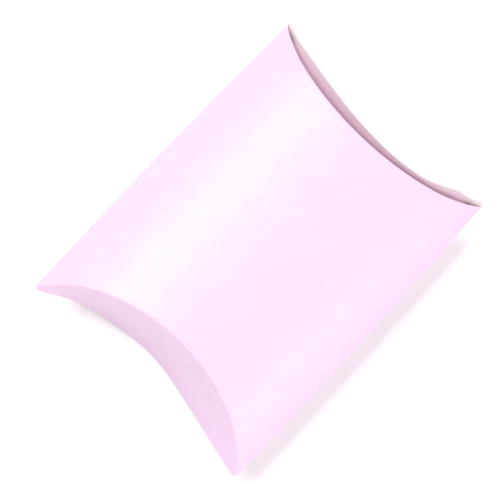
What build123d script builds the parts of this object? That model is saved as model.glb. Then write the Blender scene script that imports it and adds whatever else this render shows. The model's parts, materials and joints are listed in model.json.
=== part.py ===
from build123d import *
import math
import os

# Pillow box: one sheet of card folded into a flat tube with a bowed top and a bowed bottom,
# shut at each end by two flaps that bend over curved creases.
# +X runs along the box to its far end, +Y to its plain side fold, +Z up.
# The origin is the middle of the narrow strip that the box rests on. Lengths are millimetres.

# Driving dimensions of the box
length = 79.0
width = 57.0
height = 21.0
crease_inset = 10.5
crown_angle = 20.0
side_slope_angle = 48.0
card = 0.4
rest_strip_width = 6.0

# Driving dimensions of the end flaps
layer_gap = 0.15
crease_clearance = 0.1
outer_edge_trim = 0.3
inner_past_middle = 1.5
outer_tip_relief = 2.5
inner_tip_relief = 3.5
flap_tip_radius = 0.8
near_sprung_angle = 4.5
far_sprung_angle = 4.0
inner_turn_share = 0.7

# Driving dimensions of the side fold and the glued seam
side_fold_width = 1.2
side_fold_radius = 0.3
tab_width = 9.0
tab_end_setback = 5.0
glue_thickness = 0.1
glue_margin = 1.2

# How far a cutting solid reaches past what it cuts, and how much further round the bows run
overrun = 2.0
overrun_angle = 7.0

# Sizes that follow from the driving dimensions
half_length = length / 2
half_width = width / 2
rise = height / 2
crown_sine = math.sin(math.radians(crown_angle))
crown_cosine = math.cos(math.radians(crown_angle))
side_sine = math.sin(math.radians(side_slope_angle))
side_cosine = math.cos(math.radians(side_slope_angle))
cut_edge_y = half_width - side_fold_radius / side_sine + side_fold_radius
inner_crease_setback = card + layer_gap
crease_slope_length = math.hypot(crease_inset, rise)
reach = half_width + overrun
span = length + height


def bow_radii():
    """The radii of the bow's crown and shoulders, which together span the width and the rise."""
    shoulder_run = side_sine - crown_sine
    shoulder_drop = crown_cosine - side_cosine
    crown_drop = 1 - crown_cosine
    scale_base = crown_sine * shoulder_drop - shoulder_run * crown_drop
    crown = (half_width * shoulder_drop - rise * shoulder_run) / scale_base
    shoulder = (rise * crown_sine - half_width * crown_drop) / scale_base
    return crown, shoulder


crown_radius, shoulder_radius = bow_radii()
rest_sink = crown_radius - math.sqrt(crown_radius**2 - (rest_strip_width / 2) ** 2)


def stretched_arc(centre, radius, stretch, grow, start, sweep):
    """An arc that is stretched in depth and grown evenly, of a circle or else of an ellipse."""
    centre = (centre[0], centre[1] * stretch)
    across = radius + grow
    deep = radius * stretch + grow
    if math.isclose(across, deep):
        return CenterArc(centre, across, start, arc_size=sweep)
    return EllipticalCenterArc(centre, across, deep, start, arc_size=sweep)


def bow(depth, grow=0):
    """The bow of a panel from its right side to its left, stretched to a depth and grown evenly.

    It is a three-centred curve: a crown arc runs smoothly into two tighter shoulder arcs.
    """
    stretch = depth / rise
    centre_gap = crown_radius - shoulder_radius
    crown_height = rise - crown_radius
    shoulder_height = crown_height + centre_gap * crown_cosine
    shoulder_y = centre_gap * crown_sine
    sweep = side_slope_angle + overrun_angle - crown_angle
    crown_start = 90 - crown_angle
    right = stretched_arc(
        (shoulder_y, shoulder_height), shoulder_radius, stretch, grow, crown_start - sweep, sweep
    )
    crown = stretched_arc((0, crown_height), crown_radius, stretch, grow, crown_start, 2 * crown_angle)
    left = mirror(right, about=Plane.YZ)
    return Wire([right.edge(), crown.edge(), left.edge()])


def side_ends(line):
    """The two ends of a bow, the left one first."""
    corners = line.vertices().sort_by(Axis.X)
    return corners[0].center(), corners[-1].center()


def under_bow(depth, floor, grow=0):
    """The area from a level floor line up to the bow."""
    line = bow(depth, grow)
    left, right = side_ends(line)
    legs = Polyline(left, (left.X, -floor), (right.X, -floor), right)
    return make_face([*line.edges(), *legs.edges()])


def bow_band(depth, low, high):
    """The area between two bows of one depth, grown by two amounts."""
    inner = bow(depth, low)
    outer = bow(depth, high)
    ends = [Line(start, end) for start, end in zip(side_ends(inner), side_ends(outer))]
    return make_face([*inner.edges(), *outer.edges(), *ends])


def along_box(area):
    """An area drawn across the box, Y to the right and Z up, drawn out along X."""
    return extrude(Plane.YZ * area, amount=span / 2, both=True)


def curved_layer(depth_below_top, thickness):
    """A curved sheet below the top bow, from side to side."""
    return along_box(bow_band(rise, -depth_below_top - thickness, -depth_below_top))


def over_bow(depth, ceiling, grow=0):
    """The area from a downward bow up to a level ceiling line."""
    return mirror(under_bow(depth, ceiling, grow), about=Plane.XZ)


def between(low_y, high_y, low_z=-height, high_z=height):
    """A block longer than the box, for keeping one part of its section."""
    block = Box(span, high_y - low_y, high_z - low_z)
    return Pos(0, (low_y + high_y) / 2, (low_z + high_z) / 2) * block


def place(shape, end, face):
    """Take a shape made for the far end of the top face to another end or face."""
    if end < 0:
        shape = mirror(shape, about=Plane.YZ)
    if face < 0:
        shape = mirror(shape, about=Plane.XY)
    return shape


def crease_setback(end, face):
    """An inner flap's crease lies inside the outer flap's by one card and its gap."""
    outer_flap_face = 1 if end < 0 else -1
    return 0 if face == outer_flap_face else inner_crease_setback


def outside_crease(end, face, shift):
    """All that lies outside a curved crease, bounded by the mitre of panel and flap.

    The crease lies in a slanting plane through the box's two corners. The mitre runs from
    the crease square to that plane.
    """
    corner = (half_length - crease_setback(end, face), 0, 0)
    slant = Plane(corner, x_dir=(0, 1, 0), z_dir=(rise, 0, crease_inset))
    area = Pos(0, shift) * under_bow(crease_slope_length, span)
    return place(extrude(slant * area, amount=span, both=True), end, face)


def plan_view(setback):
    """A level plane at the far end in which the crease bows inwards along the second axis."""
    return Plane((half_length - setback, 0, 0), x_dir=(0, 1, 0), z_dir=(0, 0, 1))


def cut_ends(panel, face):
    """Cut both ends of a panel along its curved creases."""
    for end in (-1, 1):
        panel = panel - outside_crease(end, face, crease_clearance / 2)
    return panel


def cut_parallel_to_creases(strip, setback):
    """Cut both ends of a strip in a curve that stays a steady distance from the creases."""
    past_end = extrude(plan_view(setback) * under_bow(crease_inset, span), amount=height, both=True)
    for end in (-1, 1):
        strip = strip - place(past_end, end, 1)
    return strip


def top_panel():
    """The upper bowed panel, with its raw cut edge over the seam."""
    sheet = curved_layer(0, card) & between(-cut_edge_y, half_width - side_fold_width)
    return cut_ends(sheet, 1)


def bottom_panel():
    """The lower bowed panel, whose seam edge butts against the layer that the tab lies in."""
    sheet = mirror(curved_layer(0, card), about=Plane.XY)
    sheet = sheet & between(-reach, half_width - side_fold_width)
    sheet = sheet & along_box(under_bow(rise, height, -card - glue_thickness))
    return cut_ends(sheet, -1)


def lens(grow=0):
    """The box's section: the area between the upper and the lower bow."""
    area = under_bow(rise, height, grow)
    return area & mirror(area, about=Plane.XZ)


def side_fold():
    """The scored and rounded fold that joins both panels on the side without the seam."""
    corner = lens().vertices().sort_by(Axis.X)[-1]
    section = fillet(corner, side_fold_radius) - lens(-card)
    strip = along_box(section) & between(half_width - side_fold_width, reach)
    upper = cut_ends(strip & between(0, reach, low_z=0), 1)
    lower = cut_ends(strip & between(0, reach, high_z=0), -1)
    return upper + lower


def glue_tab():
    """The tab that runs on from the bottom panel and lies glued inside the top panel."""
    tab = curved_layer(card + glue_thickness, card)
    tab = tab & between(-reach, tab_width - half_width)
    tab = tab & along_box(over_bow(rise, height, -card))
    return cut_parallel_to_creases(tab, tab_end_setback)


def glue_line():
    """The line of glue between the tab and the top panel."""
    low_y = glue_margin - cut_edge_y
    high_y = tab_width - half_width - glue_margin
    glue = curved_layer(card, glue_thickness) & between(low_y, high_y)
    return cut_parallel_to_creases(glue, tab_end_setback + glue_margin)


def flap_outline(past_middle, tip_relief):
    """What an end flap covers, seen along the box: up from its free edge, between its tips."""
    area = over_bow(past_middle, height) & Rectangle(width - 2 * tip_relief, 2 * span)
    columns = area.vertices().group_by(Axis.X)
    tips = [column.sort_by(Axis.Y)[0] for column in (columns[0], columns[-1])]
    return fillet(tips, flap_tip_radius)


def flap(end, face, outline, lean):
    """An end flap that hangs from its curved crease, straight up and down but bowed in plan.

    The lean is how far it is sprung open as the box lies.
    """
    setback = crease_setback(end, face)
    bend = plan_view(setback) * bow_band(crease_inset, 0, card)
    wall = extrude(bend, amount=height, both=True) & along_box(outline)
    wall = place(wall, end, face) & outside_crease(end, face, -crease_clearance / 2)
    hinge_x = end * (half_length - setback - crease_inset)
    hinge = Axis((hinge_x, 0, face * rise), (0, -end * face, 0))
    return wall.rotate(hinge, lean)


def settle(shape):
    """Lift a shape onto the resting strip and press the belly flat there."""
    lifted = Pos(0, 0, rise - rest_sink) * shape
    below = Pos(0, 0, -height) * Box(span, width + height, 2 * height)
    return lifted - below


def build_nodes():
    """Every piece of the box by its name."""
    outer = flap_outline(rise - outer_edge_trim, outer_tip_relief)
    inner = flap_outline(inner_past_middle, inner_tip_relief)
    return {
        "top_panel": top_panel(),
        "bottom_panel": bottom_panel(),
        "side_fold": side_fold(),
        "glue_tab": glue_tab(),
        "glue_line": glue_line(),
        "near_outer_flap": flap(-1, 1, outer, near_sprung_angle),
        "near_inner_flap": flap(-1, -1, inner, near_sprung_angle * inner_turn_share),
        "far_outer_flap": flap(1, -1, outer, far_sprung_angle),
        "far_inner_flap": flap(1, 1, inner, far_sprung_angle * inner_turn_share),
    }


os.makedirs("parts", exist_ok=True)
for name, shape in build_nodes().items():
    export_step(settle(shape), f"parts/{name}.step")
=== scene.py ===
import bmesh
import bpy
import json
import math
import numpy as np
from mathutils import Matrix, Vector


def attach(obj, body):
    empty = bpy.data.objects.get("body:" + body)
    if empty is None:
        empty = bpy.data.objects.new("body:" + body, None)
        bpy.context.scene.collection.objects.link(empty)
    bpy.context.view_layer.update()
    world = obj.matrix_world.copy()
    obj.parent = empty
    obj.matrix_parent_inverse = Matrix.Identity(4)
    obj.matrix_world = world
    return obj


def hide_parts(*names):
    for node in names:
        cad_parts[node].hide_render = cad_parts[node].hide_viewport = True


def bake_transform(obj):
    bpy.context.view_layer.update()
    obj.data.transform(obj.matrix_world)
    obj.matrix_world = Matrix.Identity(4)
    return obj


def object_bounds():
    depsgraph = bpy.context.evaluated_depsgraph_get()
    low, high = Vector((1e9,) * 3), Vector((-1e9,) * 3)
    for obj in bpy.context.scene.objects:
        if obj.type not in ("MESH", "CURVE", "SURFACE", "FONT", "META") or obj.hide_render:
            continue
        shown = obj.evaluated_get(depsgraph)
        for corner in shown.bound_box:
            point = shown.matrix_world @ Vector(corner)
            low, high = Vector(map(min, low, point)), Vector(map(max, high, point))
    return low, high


# Pillow box of card, coated pink outside and plain pale rose inside, lying on a pale floor.
# Lengths are metres in the frame of the model: +X along the box, +Y to its plain side fold, +Z up.

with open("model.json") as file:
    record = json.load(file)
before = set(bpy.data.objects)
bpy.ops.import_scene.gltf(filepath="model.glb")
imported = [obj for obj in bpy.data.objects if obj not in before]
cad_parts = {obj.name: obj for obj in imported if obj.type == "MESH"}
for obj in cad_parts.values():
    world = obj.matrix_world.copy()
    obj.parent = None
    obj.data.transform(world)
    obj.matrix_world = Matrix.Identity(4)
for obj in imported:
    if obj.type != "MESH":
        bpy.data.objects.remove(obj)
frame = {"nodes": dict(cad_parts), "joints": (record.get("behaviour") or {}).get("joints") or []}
cad_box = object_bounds()
MM = 0.001

# Places read from the frame
hinges = {joint["name"]: joint["pos_m"] for joint in frame["joints"]}
top_z = hinges["near_outer_crease"][2]
bottom_z = hinges["near_inner_crease"][2]
outer_crease_middle = hinges["far_outer_crease"][0]
inner_crease_middle = hinges["far_inner_crease"][0]
mid_z = (top_z + bottom_z) / 2
rise = (top_z - bottom_z) / 2

# Driving dimensions of the card and its folds
width = 57 * MM
crease_inset = 10.5 * MM
crown_angle = math.radians(20)
side_slope_angle = math.radians(48)
card = 0.4 * MM
glue_thickness = 0.1 * MM
crease_radius = 0.55 * MM
inner_crease_radius = 0.12 * MM
fold_radius = 0.42 * MM
side_fold_width = 1.2 * MM
tab_width = 9 * MM
tab_end_setback = 5 * MM
raw_edge_inset = 0.104 * MM
plus_waist = 0.44 * MM
minus_waist = 0.38 * MM
length_step_height = 0.3 * MM

# The corners: how far they are worn in, what share of the mitre goes, and a crease's share of the bow
corner_inset = 0.12 * MM
corner_length = 1.0 * MM
corner_mitre_loss = 0.65
crease_radius_share = 0.45

# Driving dimensions of the end flaps
outer_edge_trim = 0.3 * MM
inner_past_middle = 1.5 * MM
outer_tip_relief = 0.55 * MM
inner_tip_relief = 3.5 * MM
tip_radius = 0.6 * MM
tip_droop = 0.7 * MM
tip_length = 5 * MM
lean_ease = 0.6 * MM
inner_lean_share = 0.6
outer_blend_depth = 14.7 * MM
inner_blend_depth = 8 * MM

# How far the outer flaps are sprung open in degrees: in the middle, and more towards each tip
near_spring = {
    "middle": 4.3,
    "plus_tip": {"start": 18 * MM, "run": 8 * MM, "most": 7, "power": 2},
    "minus_tip": {"start": -5 * MM, "run": 30 * MM, "most": 15.5, "power": 1.6},
}
far_spring = {
    "middle": 3.4,
    "plus_tip": {"start": -10 * MM, "run": 30 * MM, "most": 6.5, "power": 1.5},
    "minus_tip": {"start": 13 * MM, "run": 9 * MM, "most": 9, "power": 2},
}

# How finely the pieces are divided, and how closely a crossing is found
panel_columns = 110
tab_columns = 30
flap_columns = 121
fold_columns = 11
fold_edge_columns = 5
bend_rows = 6
panel_rows = 50
tab_rows = 60
wall_rows = 26
gathering = 0.5
halvings = 60

# The finishes of the card, by their place in its list of materials
outside = 0
inside = 1
cut_edge = 2

# The two colours that each finish runs between, and how wide the mark of a fold is
pink = (0.965, 0.675, 0.93), (0.975, 0.70, 0.945)
folded_pink = (0.96, 0.645, 0.92), (0.975, 0.705, 0.94)
inside_rose = (0.99, 0.87, 0.87), (0.995, 0.895, 0.895)
cut_rose = (0.86, 0.76, 0.81), (0.94, 0.87, 0.90)
glue_cream = (0.8, 0.77, 0.68), (0.9, 0.88, 0.82)
fold_mark_width = 0.7 * MM

# How high the fine relief of each finish is
coating_waves = 0.06 * MM
coating_fibres = 0.004 * MM
inside_fibres = 0.02 * MM
cut_layers = 0.02 * MM
glue_bubbles = 0.03 * MM

# The floor: how far it reaches, its colour, how much brighter it is seen, and its place under the box
floor_reach = 3.0
floor_colour = (0.8, 0.8, 0.8)
floor_lift = (0.48, 0.455, 0.465)
floor_sink = 0.02 * MM

# The camera, fitted to the photograph: its turn, dip and roll, its place, and its lens in millimetres
camera_azimuth = math.radians(91.24)
camera_elevation = math.radians(75.28)
camera_roll = math.radians(44.45)
camera_distance = 500 * MM
camera_target = Vector((-2.59 * MM, 1.28 * MM, mid_z))
camera_lens = 174.99
camera_sensor = 36.0

# The light: an even surround, a long soft lamp high on the +Y side and a weaker one low at -Y
surround_strength = 0.5
backdrop_strength = 1.0
lamp_distance = 1.2
high_lamp = {"direction": (0.0, 0.5, 0.86), "length": 1.3, "width": 0.6, "level": 0.74}
low_lamp = {"direction": (0.0, -0.92, 0.39), "length": 1.0, "width": 1.0, "level": 0.42}

# Sizes that follow from the driving dimensions
half_width = width / 2
outer_half_length = outer_crease_middle + crease_inset
inner_half_length = inner_crease_middle + crease_inset
overlap = card + glue_thickness

# What sets the outer flaps apart from the inner ones behind them
outer_flap = {
    "half_length": outer_half_length,
    "past_middle": rise - outer_edge_trim,
    "tip_relief": outer_tip_relief,
    "lean_share": 1,
    "blend_depth": outer_blend_depth,
}
inner_flap = {
    "half_length": inner_half_length,
    "past_middle": inner_past_middle,
    "tip_relief": inner_tip_relief,
    "lean_share": inner_lean_share,
    "blend_depth": inner_blend_depth,
}


def bow_radii():
    """The radii of the bow's crown and shoulders."""
    run = math.sin(side_slope_angle) - math.sin(crown_angle)
    drop = math.cos(crown_angle) - math.cos(side_slope_angle)
    crown_drop = 1 - math.cos(crown_angle)
    base = math.sin(crown_angle) * drop - run * crown_drop
    crown = (half_width * drop - rise * run) / base
    shoulder = (rise * math.sin(crown_angle) - half_width * crown_drop) / base
    return crown, shoulder


crown_radius, shoulder_radius = bow_radii()
shoulder_y = (crown_radius - shoulder_radius) * math.sin(crown_angle)
shoulder_height = rise - crown_radius + (crown_radius - shoulder_radius) * math.cos(crown_angle)


def bow(y, grow=0.0):
    """Height of the bow over the middle plane at each y, for a bow grown evenly outwards."""
    away = np.abs(np.asarray(y, float))
    crown = crown_radius + grow
    shoulder = shoulder_radius + grow
    on_crown = rise - crown_radius + np.sqrt(np.maximum(crown**2 - away**2, 0))
    on_shoulder = shoulder_height + np.sqrt(np.maximum(shoulder**2 - (away - shoulder_y) ** 2, 0))
    return np.where(away < crown * math.sin(crown_angle), on_crown, on_shoulder)


def tilt(y):
    """Sine of the bow's slope at each y, positive on the +Y side."""
    away = np.abs(np.asarray(y, float))
    on_crown = away / crown_radius
    on_shoulder = (away - shoulder_y) / shoulder_radius
    return np.sign(y) * np.where(away < crown_radius * math.sin(crown_angle), on_crown, on_shoulder)


def inwards(y, depth):
    """The point at a depth below the bow, measured square to it from the bow's point at y."""
    sine = tilt(y)
    return y - depth * sine, bow(y) - depth * np.sqrt(1 - sine**2)


def ease(t):
    """A smooth step from 0 to 1."""
    t = np.clip(t, 0, 1)
    return t * t * (3 - 2 * t)


def stations(low, high, count):
    """Places from low to high that gather somewhat towards both ends."""
    turn = np.linspace(0, math.pi, count)
    gathered = gathering * (1 - np.cos(turn)) / 2
    return low + (high - low) * (gathered + (1 - gathering) * turn / math.pi)


def crossing(height_at, low, high):
    """Where a falling height passes through zero between two places."""
    for _ in range(halvings):
        middle = (low + high) / 2
        if height_at(middle) > 0:
            low = middle
        else:
            high = middle
    return (low + high) / 2


def layer(y, depth):
    """The outer and inner line of a sheet's section at a depth below the bow, as y and height."""
    return np.stack(inwards(y, depth), -1), np.stack(inwards(y, depth + card), -1)


def turned_over(lines):
    """The same lines on the lower side of the box."""
    return [line * (1, -1) for line in lines]


def fold_centre(upper_depth):
    """The middle of the round fold between the lower bow and a layer below the upper bow."""
    lower_grow = -fold_radius
    upper_grow = -fold_radius - upper_depth
    y = crossing(lambda at: bow(at, lower_grow) + bow(at, upper_grow), 0, half_width)
    return y, -float(bow(y, lower_grow)), float(bow(y, upper_grow))


def fold_turn(upper_depth):
    """The angles from level at which the fold meets the lower and the upper layer."""
    y, lower, upper = fold_centre(upper_depth)
    low = -math.atan2(-lower - shoulder_height, y - shoulder_y)
    high = math.atan2(upper - shoulder_height, y - shoulder_y)
    return low, high


def fold(side, upper_depth):
    """The outer and inner line of the section round a fold, from the lower to the upper layer."""
    y, height, _ = fold_centre(upper_depth)
    turn = np.linspace(*fold_turn(upper_depth), fold_columns)
    lines = []
    for radius in (fold_radius, fold_radius - card):
        across = side * (y + radius * np.cos(turn))
        lines.append(np.stack([across, height + radius * np.sin(turn)], -1))
    return lines


def joined(*parts):
    """Sections joined end to end, without the points that they share."""
    return [
        np.concatenate([parts[0][line]] + [part[line][1:] for part in parts[1:]])
        for line in (0, 1)
    ]


def fold_start(upper_depth, upper=False):
    """How far out the fold meets the lower or the upper layer, measured on the bow outside it."""
    y, _, _ = fold_centre(upper_depth)
    low, high = fold_turn(upper_depth)
    if upper:
        return y + (fold_radius + upper_depth) * math.cos(high)
    return y + fold_radius * math.cos(low)


def corner_trim(y):
    """How far the sleeve is worn in at each y, which is most at its corners."""
    return corner_inset * np.clip((np.abs(y) - half_width + corner_length) / corner_length, 0, 1) ** 2


def panel_ends(face, heights):
    """The length from the middle to the corners at both ends, for the upper or the lower panel.

    Between the two, round the side fold, one length runs over into the other.
    """
    if face == 0:
        step = ease((heights + length_step_height) / (2 * length_step_height))
    else:
        step = (face + 1) / 2
    near = inner_half_length + (outer_half_length - inner_half_length) * step
    far = outer_half_length - (outer_half_length - inner_half_length) * step
    return near, far


def between_creases(line, face, radius):
    """A grid along a line of the section that turns half way round the creases at both ends."""
    y, height = line[:, 0], line[:, 1]
    near, far = panel_ends(face, height)
    trim = corner_trim(y)
    deep = bow(y)
    below = deep - np.abs(height)
    near_corner = ease((np.abs(y) - half_width + side_fold_width) / corner_length)
    mitre = below * (1 - corner_mitre_loss * near_corner)
    radius = np.minimum(radius, crease_radius_share * deep)[:, None]
    turn = np.linspace(math.pi / 4, 0, bend_rows)[None, :]
    back = radius * (1 - np.sin(turn))
    down = radius * (1 - np.cos(turn))
    near_x = (mitre + deep + trim - near)[:, None] + back
    far_x = (far - deep - mitre - trim)[:, None] - back[:, ::-1]
    spread = stations(0, 1, panel_rows)[None, 1:-1]
    level_x = near_x[:, -1:] + (far_x[:, :1] - near_x[:, -1:]) * spread
    x = np.concatenate([near_x, level_x, far_x], axis=1)
    drop = np.concatenate([down, np.zeros_like(level_x), down[:, ::-1]], axis=1)
    height = np.sign(height)[:, None] * (np.abs(height)[:, None] - drop)
    return world_grid(x, y[:, None], height)


def between_cuts(line, half_length):
    """A grid along a line of the section whose cut ends keep a steady distance from the creases."""
    y, height = line[:, 0], line[:, 1]
    end = half_length - bow(y)
    x = end[:, None] * np.linspace(-1, 1, tab_rows)[None, :]
    return world_grid(x, y[:, None], height[:, None])


def drawn_in(points):
    """Points with the box a little narrower towards its ends, where the flaps hold it in."""
    y = points[..., 1]
    waist = np.where(y > 0, plus_waist, minus_waist)
    along = np.clip(np.abs(points[..., 0]) / outer_half_length, 0, 1)
    points[..., 1] = y * (1 - waist / half_width * along**2)
    return points


def world_grid(x, y, height):
    """Points from their heights over the middle plane, pressed flat where the box rests."""
    points = np.stack(np.broadcast_arrays(x, y, mid_z + height), -1)
    points[..., 2] = np.clip(points[..., 2], 0, cad_box[1].z)
    return drawn_in(points)


def grid_quads(rows, columns):
    """The faces of one skin of a grid."""
    index = np.arange(rows * columns).reshape(rows, columns)
    return np.stack([index[:-1, :-1], index[:-1, 1:], index[1:, 1:], index[1:, :-1]], -1).reshape(-1, 4)


def grid_faces(rows, columns):
    """The faces of a closed sheet of two grids, and the finish of each face."""
    index = np.arange(rows * columns).reshape(rows, columns)
    quads = grid_quads(rows, columns)
    rim = np.concatenate([index[0], index[1:, -1], index[-1, -2::-1], index[-2:0:-1, 0]])
    following = np.roll(rim, -1)
    below = rows * columns
    sides = np.stack([following, rim, rim + below, following + below], -1)
    faces = np.concatenate([quads, below + quads[:, ::-1], sides])
    finishes = [outside] * len(quads) + [inside] * len(quads) + [cut_edge] * len(sides)
    return faces.tolist(), finishes


def card_piece(name, outer, inner, materials):
    """A closed piece of card between an outer and an inner grid, with its three finishes."""
    rows, columns = outer.shape[:2]
    points = np.concatenate([outer.reshape(-1, 3), inner.reshape(-1, 3)])
    faces, finishes = grid_faces(rows, columns)
    mesh = bpy.data.meshes.new(name)
    mesh.from_pydata(points.tolist(), [], faces)
    dress(mesh, materials)
    mesh.polygons.foreach_set("material_index", finishes)
    mesh.polygons.foreach_set("use_smooth", [finish != cut_edge for finish in finishes])
    face_outwards(mesh)
    crisp_cut_edges(mesh)
    piece = bpy.data.objects.new(name, mesh)
    bpy.context.scene.collection.objects.link(piece)
    return piece


def card_flap(name, outer, outwards, materials):
    """A piece of card that bends: its outer skin, behind which the card's thickness is laid."""
    rows, columns = outer.shape[:2]
    quads = grid_quads(rows, columns)
    if outwards < 0:
        quads = quads[:, ::-1]
    mesh = bpy.data.meshes.new(name)
    mesh.from_pydata(outer.reshape(-1, 3).tolist(), [], quads.tolist())
    mesh.polygons.foreach_set("use_smooth", [True] * len(quads))
    dress(mesh, materials)
    crisp_rim(mesh)
    piece = bpy.data.objects.new(name, mesh)
    bpy.context.scene.collection.objects.link(piece)
    thickness = piece.modifiers.new("card", "SOLIDIFY")
    thickness.thickness = card
    thickness.offset = -1
    thickness.use_even_offset = True
    thickness.material_offset = inside
    thickness.material_offset_rim = cut_edge
    return piece


def dress(mesh, materials):
    """Give a mesh the card's three finishes and note where it is folded."""
    for material in materials:
        mesh.materials.append(material)
    points = np.array([vertex.co for vertex in mesh.vertices])
    mesh.attributes.new("fold", "FLOAT", "POINT").data.foreach_set("value", fold_amount(points))


def crisp_rim(mesh):
    """Keep the outline of an open skin hard."""
    faces_on = {}
    for polygon in mesh.polygons:
        for key in polygon.edge_keys:
            faces_on[key] = faces_on.get(key, 0) + 1
    for edge in mesh.edges:
        edge.use_edge_sharp = faces_on[edge.key] == 1


def face_outwards(mesh):
    """Turn every face of a closed mesh outwards."""
    work = bmesh.new()
    work.from_mesh(mesh)
    bmesh.ops.recalc_face_normals(work, faces=work.faces)
    work.to_mesh(mesh)
    work.free()


def crisp_cut_edges(mesh):
    """Keep an edge between two finishes hard."""
    finishes = {}
    for polygon in mesh.polygons:
        for key in polygon.edge_keys:
            finishes.setdefault(key, set()).add(polygon.material_index)
    for edge in mesh.edges:
        edge.use_edge_sharp = len(finishes[edge.key]) > 1


def fold_amount(points):
    """How near each point lies to a crease or a side fold, from 0 to 1."""
    x, y, height = points[:, 0], points[:, 1], points[:, 2] - mid_z
    deep = bow(y)
    crease_x = (outer_half_length + inner_half_length) / 2 - deep
    from_crease = np.maximum(np.abs(np.abs(x) - crease_x), np.abs(np.abs(height) - deep))
    from_side = half_width - np.abs(y)
    nearness = np.exp(-((from_crease / fold_mark_width) ** 2))
    return np.maximum(nearness, np.exp(-((from_side / fold_mark_width) ** 2)))


def top_panel(materials):
    """The upper bowed panel, from its raw cut edge over the seam to the side fold."""
    y = stations(raw_edge_inset - half_width, half_width - side_fold_width, panel_columns)
    outer, inner = layer(y, 0)
    piece = card_piece(
        "top_panel_card",
        between_creases(outer, 1, crease_radius),
        between_creases(inner, 1, inner_crease_radius),
        materials,
    )
    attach(piece, "sleeve")
    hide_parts("top_panel")


def bottom_panel(materials):
    """The lower bowed panel, from the fold of the glue tab to the side fold."""
    y = stations(-fold_start(overlap), half_width - side_fold_width, panel_columns)
    outer, inner = turned_over(layer(y, 0))
    piece = card_piece(
        "bottom_panel_card",
        between_creases(outer, -1, crease_radius),
        between_creases(inner, -1, inner_crease_radius),
        materials,
    )
    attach(piece, "sleeve")
    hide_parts("bottom_panel")


def side_fold(materials):
    """The rounded fold that joins both panels on the side without the seam."""
    rising = np.linspace(half_width - side_fold_width, fold_start(0), fold_edge_columns)
    lower = turned_over(layer(rising, 0))
    upper = layer(rising[::-1], 0)
    outer, inner = joined(lower, fold(1, 0), upper)
    piece = card_piece(
        "side_fold_card",
        between_creases(outer, 0, crease_radius),
        between_creases(inner, 0, inner_crease_radius),
        materials,
    )
    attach(piece, "sleeve")
    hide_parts("side_fold")


def glue_tab(materials):
    """The tab that folds in from the bottom panel and lies under the top panel."""
    start = fold_start(overlap, upper=True)
    y = stations(-start, tab_width - half_width, tab_columns)
    outer, inner = joined(fold(-1, overlap), layer(y, overlap))
    half_length = outer_half_length - tab_end_setback
    piece = card_piece(
        "glue_tab_card", between_cuts(outer, half_length), between_cuts(inner, half_length), materials
    )
    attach(piece, "sleeve")
    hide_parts("glue_tab")


def tip_lean(away, start, run, most, power):
    """Degrees that are added towards one tip: none up to a start, the most after a run."""
    return most * np.clip((away - start) / run, 0, 1) ** power


def lean(y, spring):
    """How far an outer flap is sprung open at each y: most at its tips."""
    plus_side = tip_lean(y, **spring["plus_tip"])
    minus_side = tip_lean(-y, **spring["minus_tip"])
    return np.radians(spring["middle"] + plus_side + minus_side)


def flap_grid(y, half_length, free_edge, angles):
    """The outer skin of a flap that hangs from the far upper crease, as a grid from its crease down."""
    deep = bow(y)
    radius = np.minimum(crease_radius, crease_radius_share * deep)[:, None]
    turn = np.linspace(math.pi / 4, 0, bend_rows)[None, :]
    back = radius * (1 - np.cos(turn))
    down = radius * (1 - np.sin(turn))
    bend_height = deep[:, None] - down
    spread = np.linspace(0, 1, wall_rows)[None, 1:]
    wall_height = bend_height[:, -1:] + (free_edge[:, None] - bend_height[:, -1:]) * spread
    height = np.concatenate([bend_height, wall_height], axis=1)
    back = np.concatenate([back, np.zeros_like(wall_height)], axis=1)
    x = (half_length - deep)[:, None] - back
    drop = deep[:, None] - height
    swung = drop - lean_ease * (1 - np.exp(-drop / lean_ease))
    x = x + np.sin(angles)[:, None] * swung
    height = height + (1 - np.cos(angles))[:, None] * swung
    return drawn_in(np.stack(np.broadcast_arrays(x, y[:, None], height), -1))


def free_edge_height(y, tip_y, past_middle):
    """The height of a flap's free edge at each y, with its rounded and slightly drooping tips."""
    beyond = np.clip(np.abs(y) - tip_y + tip_radius, 0, tip_radius)
    rounding = tip_radius - np.sqrt(tip_radius**2 - beyond**2)
    droop = tip_droop * ease((np.abs(y) - half_width + tip_length) / tip_length)
    return rounding - past_middle / rise * bow(y) - droop


def flap(name, end, face, kind, spring, materials):
    """A flap on its curved crease, drawn sprung open by its lean and bent round just below the crease.
    """
    half_length = kind["half_length"]
    tip_y = half_width - kind["tip_relief"]
    y = stations(-tip_y, tip_y, flap_columns)
    free_edge = free_edge_height(y, tip_y, kind["past_middle"])
    skin = flap_grid(y, half_length, free_edge, lean(y, spring) * kind["lean_share"])
    placed = skin * np.array([end, 1, face]) + np.array([0, 0, mid_z])
    piece = card_flap(f"{name}_card", placed, end * face, materials)
    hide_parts(name)
    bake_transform(piece)


def flaps(materials):
    """The two flaps of each end: an outer one that shows and an inner one behind it."""
    for side, end, spring in (("near", -1, near_spring), ("far", 1, far_spring)):
        flap(f"{side}_outer_flap", end, -end, outer_flap, spring, materials)
        flap(f"{side}_inner_flap", end, end, inner_flap, spring, materials)


def new_material(name, roughness):
    """A material with a principled shader of one roughness, and its node tree."""
    material = bpy.data.materials.new(name)
    material.use_nodes = True
    shader = material.node_tree.nodes["Principled BSDF"]
    shader.inputs["Roughness"].default_value = roughness
    return material, material.node_tree, shader


def add_node(tree, kind, links=(), **values):
    """Add a node with its values, and link sockets of other nodes to its inputs."""
    node = tree.nodes.new(kind)
    for key, value in values.items():
        if hasattr(node, key):
            setattr(node, key, value)
        else:
            node.inputs[key.replace("_", " ")].default_value = value
    for socket, source in links:
        tree.links.new(source, node.inputs[socket])
    return node


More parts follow.
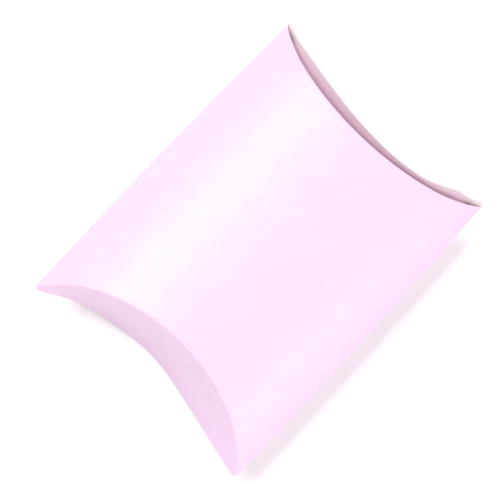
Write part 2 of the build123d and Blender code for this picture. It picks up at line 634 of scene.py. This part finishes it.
def noise(tree, place, scale, detail=2.0, roughness=0.5):
    """Soft random mottling of one grain size."""
    node = add_node(tree, "ShaderNodeTexNoise", [("Vector", place)], Scale=scale, Detail=detail)
    node.inputs["Roughness"].default_value = roughness
    return node.outputs["Fac"]


def between_colours(tree, amount, first, second, low=0.3, high=0.7):
    """A colour that runs from the first to the second as an amount goes from low to high."""
    ramp = tree.nodes.new("ShaderNodeValToRGB")
    ramp.color_ramp.elements[0].position = low
    ramp.color_ramp.elements[1].position = high
    ramp.color_ramp.elements[0].color = (*first, 1)
    ramp.color_ramp.elements[1].color = (*second, 1)
    tree.links.new(amount, ramp.inputs["Fac"])
    return ramp.outputs["Color"]


def mixed(tree, amount, first, second):
    """Two colours mixed by an amount."""
    mix = tree.nodes.new("ShaderNodeMix")
    mix.data_type = "RGBA"
    tree.links.new(amount, mix.inputs["Factor"])
    tree.links.new(first, mix.inputs["A"])
    tree.links.new(second, mix.inputs["B"])
    return mix.outputs["Result"]


def relief(tree, shader, layers):
    """Fine bumps on a surface: pairs of a height in metres and the pattern that it has."""
    normal = None
    for height, pattern in layers:
        bump = add_node(tree, "ShaderNodeBump", [("Height", pattern)], Distance=height, Strength=1.0)
        if normal:
            tree.links.new(normal, bump.inputs["Normal"])
        normal = bump.outputs["Normal"]
    tree.links.new(normal, shader.inputs["Normal"])


def object_place(tree):
    """The place on the object that every pattern is laid out by."""
    return tree.nodes.new("ShaderNodeTexCoord").outputs["Object"]


def stretched(tree, place, scale):
    """Places with a pattern drawn out along the card's grain."""
    return add_node(tree, "ShaderNodeMapping", [("Vector", place)], Scale=scale).outputs["Vector"]


def coated_pink():
    """Smooth pink coating with a satin sheen, a little more mottled along its folds."""
    material, tree, shader = new_material("coated_pink", roughness=0.38)
    shader.inputs["Specular IOR Level"].default_value = 0.6
    place = object_place(tree)
    mottle = noise(tree, place, scale=320, detail=3)
    colour = between_colours(tree, mottle, *pink)
    fold_mark = add_node(tree, "ShaderNodeAttribute", attribute_name="fold").outputs["Fac"]
    fold_mottle = noise(tree, place, scale=1800, detail=2)
    folded_colour = between_colours(tree, fold_mottle, *folded_pink)
    tree.links.new(mixed(tree, fold_mark, colour, folded_colour), shader.inputs["Base Color"])
    patches = noise(tree, place, scale=900)
    sheen = add_node(tree, "ShaderNodeMapRange", [("Value", patches)], To_Min=0.34, To_Max=0.42)
    tree.links.new(sheen.outputs["Result"], shader.inputs["Roughness"])
    fibres = noise(tree, stretched(tree, place, scale=(1, 2.4, 1)), scale=2600, detail=4)
    waves = noise(tree, place, scale=140)
    relief(tree, shader, [(coating_waves, waves), (coating_fibres, fibres)])
    return material


def plain_inside():
    """The uncoated inner side of the card, a pale rose, matt and faintly fibrous."""
    material, tree, shader = new_material("plain_inside", roughness=0.9)
    shader.inputs["Specular IOR Level"].default_value = 0.1
    place = object_place(tree)
    fibres = noise(tree, stretched(tree, place, scale=(1, 3, 1)), scale=1500, detail=5, roughness=0.6)
    colour = between_colours(tree, fibres, *inside_rose)
    tree.links.new(colour, shader.inputs["Base Color"])
    relief(tree, shader, [(inside_fibres, fibres)])
    return material


def cut_card():
    """The cut edges of the card: a pale rose core with fine layers."""
    material, tree, shader = new_material("cut_card", roughness=0.9)
    place = object_place(tree)
    layers = noise(tree, place, scale=5200, detail=3)
    colour = between_colours(tree, layers, *cut_rose)
    tree.links.new(colour, shader.inputs["Base Color"])
    relief(tree, shader, [(cut_layers, layers)])
    return material


def dried_glue():
    """The pale line of glue, cloudy with small bubbles."""
    material, tree, shader = new_material("dried_glue", roughness=0.45)
    place = object_place(tree)
    cloud = noise(tree, place, scale=700, detail=4)
    colour = between_colours(tree, cloud, *glue_cream)
    tree.links.new(colour, shader.inputs["Base Color"])
    relief(tree, shader, [(glue_bubbles, cloud)])
    return material


def glue_line():
    """The line of glue keeps its solid and gets a finish of its own."""
    mesh = frame["nodes"]["glue_line"].data
    mesh.materials.clear()
    mesh.materials.append(dried_glue())


def seen_directly(tree):
    """1 for what the camera sees straight, in a reflection or through glass, and else 0."""
    path = tree.nodes.new("ShaderNodeLightPath")
    seen = path.outputs["Is Camera Ray"]
    for ray in ("Is Glossy Ray", "Is Transmission Ray"):
        inputs = [(0, seen), (1, path.outputs[ray])]
        seen = add_node(tree, "ShaderNodeMath", inputs, operation="MAXIMUM").outputs[0]
    return seen


def floor():
    """A wide white floor that is seen brighter than it lights the box, so its shadows stay faint."""
    mesh = bpy.data.meshes.new("floor")
    turns = ((-1, -1), (1, -1), (1, 1), (-1, 1))
    corners = [(x * floor_reach, y * floor_reach, -floor_sink) for x, y in turns]
    mesh.from_pydata(corners, [], [(0, 1, 2, 3)])
    piece = bpy.data.objects.new("floor", mesh)
    bpy.context.scene.collection.objects.link(piece)
    material, tree, shader = new_material("floor_paper", roughness=0.9)
    shader.inputs["Specular IOR Level"].default_value = 0.2
    shader.inputs["Base Color"].default_value = (*floor_colour, 1)
    lift = add_node(tree, "ShaderNodeBsdfDiffuse", Color=(*floor_lift, 1))
    lifted = add_node(tree, "ShaderNodeAddShader", [(0, shader.outputs[0]), (1, lift.outputs[0])])
    sources = [("Fac", seen_directly(tree)), (1, shader.outputs[0]), (2, lifted.outputs[0])]
    mix = add_node(tree, "ShaderNodeMixShader", sources)
    tree.links.new(mix.outputs[0], tree.nodes["Material Output"].inputs["Surface"])
    mesh.materials.append(material)


def surround():
    """Even white light from all round, before a white backdrop."""
    world = bpy.data.worlds.new("surround")
    bpy.context.scene.world = world
    world.use_nodes = True
    tree = world.node_tree
    backdrop = tree.nodes["Background"]
    backdrop.inputs["Color"].default_value = (1, 1, 1, 1)
    level = add_node(tree, "ShaderNodeMapRange", [("Value", seen_directly(tree))])
    level.inputs["To Min"].default_value = surround_strength
    level.inputs["To Max"].default_value = backdrop_strength
    tree.links.new(level.outputs["Result"], backdrop.inputs["Strength"])


def lamp(name, direction, length, width, level):
    """A long soft lamp; its level is what it gives a white surface that faces it."""
    light = bpy.data.lights.new(name, "AREA")
    light.shape = "RECTANGLE"
    light.size = length
    light.size_y = width
    light.energy = level * math.pi**2 * lamp_distance**2
    towards = Vector(direction).normalized()
    across = towards.cross(Vector((1, 0, 0))).normalized()
    piece = bpy.data.objects.new(name, light)
    bpy.context.scene.collection.objects.link(piece)
    piece.matrix_world = basis(across.cross(towards), across, towards, towards * lamp_distance)
    piece.visible_camera = False


def basis(right, up, back, location):
    """The matrix of an object from its three axes and its place."""
    matrix = Matrix((right, up, back)).transposed().to_4x4()
    matrix.translation = location
    return matrix


def camera():
    """The photograph's camera, which looks down on the box from its near end."""
    cos_dip = math.cos(camera_elevation)
    ahead_x = math.sin(camera_azimuth) * cos_dip
    ahead_y = math.cos(camera_azimuth) * cos_dip
    ahead = Vector((ahead_x, ahead_y, -math.sin(camera_elevation)))
    level = Vector((math.cos(camera_azimuth), -math.sin(camera_azimuth), 0))
    upright = level.cross(ahead)
    right = level * math.cos(camera_roll) + upright * math.sin(camera_roll)
    up = upright * math.cos(camera_roll) - level * math.sin(camera_roll)
    lens = bpy.data.cameras.new("camera")
    lens.sensor_width = camera_sensor
    lens.lens = camera_lens
    piece = bpy.data.objects.new("camera", lens)
    bpy.context.scene.collection.objects.link(piece)
    piece.matrix_world = basis(right, up, -ahead, camera_target - ahead * camera_distance)
    bpy.context.scene.camera = piece


camera()
surround()
lamp("high_lamp", **high_lamp)
lamp("low_lamp", **low_lamp)
floor()
card_finishes = [coated_pink(), plain_inside(), cut_card()]
top_panel(card_finishes)
bottom_panel(card_finishes)
side_fold(card_finishes)
glue_tab(card_finishes)
glue_line()
flaps(card_finishes)
bpy.context.scene.view_settings.view_transform = "Standard"
